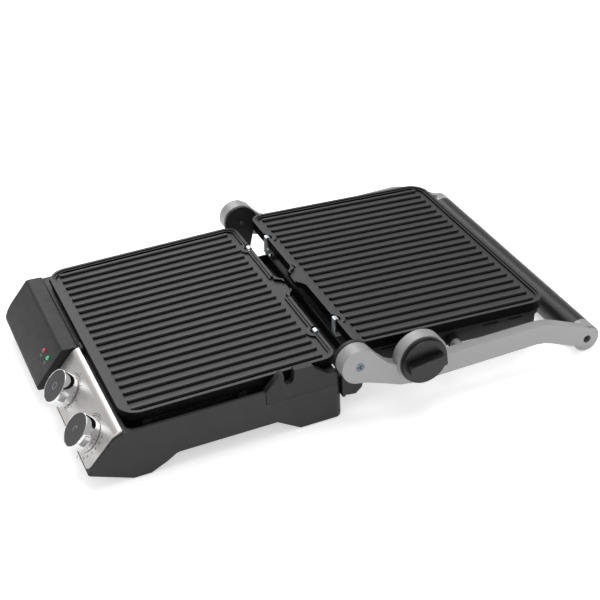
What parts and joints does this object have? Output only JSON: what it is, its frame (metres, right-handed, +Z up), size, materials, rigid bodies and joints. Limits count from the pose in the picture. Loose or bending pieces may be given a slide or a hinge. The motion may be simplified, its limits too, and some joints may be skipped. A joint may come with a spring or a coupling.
{
  "type": "panini press",
  "caption": "Contact grill for panini, lying open flat: ribbed non-stick plates on a black base and a hinged lid, silver arms with a round handle, steel control panel.",
  "frame": {"origin": "on the table, at the middle of the front foot strip, on the plane midway between the two side walls", "axes": "+X to the user's right, +Y from the control panel to the handle of the opened press, +Z up"},
  "size_m": [0.3725, 0.583, 0.0885],
  "materials": {
    "body_plastic": "fine moulded texture, low sheen",
    "cover_plastic": "smooth satin",
    "trim_plastic": "satin moulded",
    "panel_steel": "fine brushed along the width",
    "cover_steel": "brushed, rolled edges",
    "plate_coating": "die-cast with grey-black non-stick coating",
    "arm_silver": "die-cast, fine silver satin lacquer",
    "grip_black": "satin",
    "selector_black": "fine satin",
    "knob_chrome": "satin chrome with polished rim",
    "knob_face": "matt dark grey",
    "lamp_red": "clear tinted lens",
    "lamp_green": "clear tinted lens",
    "foot_rubber": "matt",
    "zinc_steel": "zinc plated",
    "core_metal": "drawn bar",
    "heater_sheath": "heat-tinted sheath",
    "reflector_sheet": "rolled sheet",
    "switch_body": "phenolic moulding",
    "sleeve_braid": "braided glass-fibre sleeve"
  },
  "bodies": {
    "base": {"base_shell": "body_plastic", "bottom_cover": "body_plastic", "control_panel": "panel_steel", "indicator_cover": "cover_plastic", "power_lamp": "lamp_red", "ready_lamp": "lamp_green", "timer_unit": "switch_body", "thermostat_unit": "switch_body", "lower_heater": "heater_sheath", "lower_reflector": "reflector_sheet", "lower_plate_hooks": "zinc_steel", "arm_rest_bracket": "trim_plastic", "hinge_bracket_left": "trim_plastic", "hinge_bracket_right": "trim_plastic", "hinge_pin_left": "zinc_steel", "hinge_pin_right": "zinc_steel", "drip_trough": "trim_plastic", "rubber_feet": "foot_rubber", "base_screws": "zinc_steel", "terminal_block": "switch_body", "cord_gland": "trim_plastic", "wiring_sleeve": "sleeve_braid"},
    "lower_plate": {"lower_plate": "plate_coating"},
    "lower_latch": {"lower_latch": "trim_plastic"},
    "timer_knob": {"timer_knob": "knob_chrome", "timer_knob_cap": "knob_face"},
    "thermostat_knob": {"thermostat_knob": "knob_chrome", "thermostat_knob_cap": "knob_face"},
    "drip_tray": {"drip_tray": "trim_plastic"},
    "arms": {"arm_left": "arm_silver", "arm_right": "arm_silver", "handle_grip": "grip_black", "handle_core": "core_metal", "handle_screws": "zinc_steel", "pivot_pin_left": "zinc_steel", "pivot_pin_right": "zinc_steel"},
    "height_selector": {"height_knob": "selector_black", "height_cam": "trim_plastic"},
    "upper": {"upper_frame": "trim_plastic", "upper_cover": "cover_steel", "upper_heater": "heater_sheath", "upper_reflector": "reflector_sheet", "upper_plate_hooks": "zinc_steel", "upper_cover_screws": "zinc_steel"},
    "upper_plate": {"upper_plate": "plate_coating"},
    "upper_latch": {"upper_latch": "trim_plastic"}
  },
  "joints": [
    {"name": "arm_hinge", "type": "hinge", "parent": "base", "child": "arms", "pos_m": [0, 0.23, 0.0685], "axis": [-1, 0, 0], "range_deg": [-178, 0], "deforming": ["wiring_sleeve"]},
    {"name": "upper_tilt", "type": "hinge", "parent": "arms", "child": "upper", "pos_m": [0, 0.3501, 0.04619], "axis": [-1, 0, 0], "range_deg": [-5.4, 0]},
    {"name": "height_turn", "type": "hinge", "parent": "arms", "child": "height_selector", "pos_m": [0.17, 0.2995, 0.0575], "axis": [1, 0, 0], "range_deg": [0, 90]},
    {"name": "timer_turn", "type": "hinge", "parent": "base", "child": "timer_knob", "pos_m": [0.041, -0.0393, 0.0379], "axis": [0, 0.7314, -0.682], "range_deg": [0, 300]},
    {"name": "thermostat_turn", "type": "hinge", "parent": "base", "child": "thermostat_knob", "pos_m": [0.1215, -0.0393, 0.0379], "axis": [0, 0.7314, -0.682], "range_deg": [0, 240]},
    {"name": "tray_slide", "type": "slide", "parent": "base", "child": "drip_tray", "axis": [0, 1, 0], "range_m": [0, 0.075]},
    {"name": "lower_plate_lift", "type": "slide", "parent": "base", "child": "lower_plate", "axis": [0, 0, 1], "range_m": [0, 0.05]},
    {"name": "upper_plate_lift", "type": "slide", "parent": "upper", "child": "upper_plate", "axis": [0, 0.057, 0.9984], "range_m": [0, 0.05]},
    {"name": "lower_latch_push", "type": "slide", "parent": "base", "child": "lower_latch", "axis": [0, 0, -1], "range_m": [0, 0.003], "stiffness_N_per_m": 400},
    {"name": "upper_latch_push", "type": "slide", "parent": "upper", "child": "upper_latch", "axis": [0, -0.057, -0.9984], "range_m": [0, 0.003], "stiffness_N_per_m": 400}
  ],
  "couplings": [
    {"joint": "upper_tilt", "follows": "arm_hinge", "ratio": 0.02966}
  ]
}
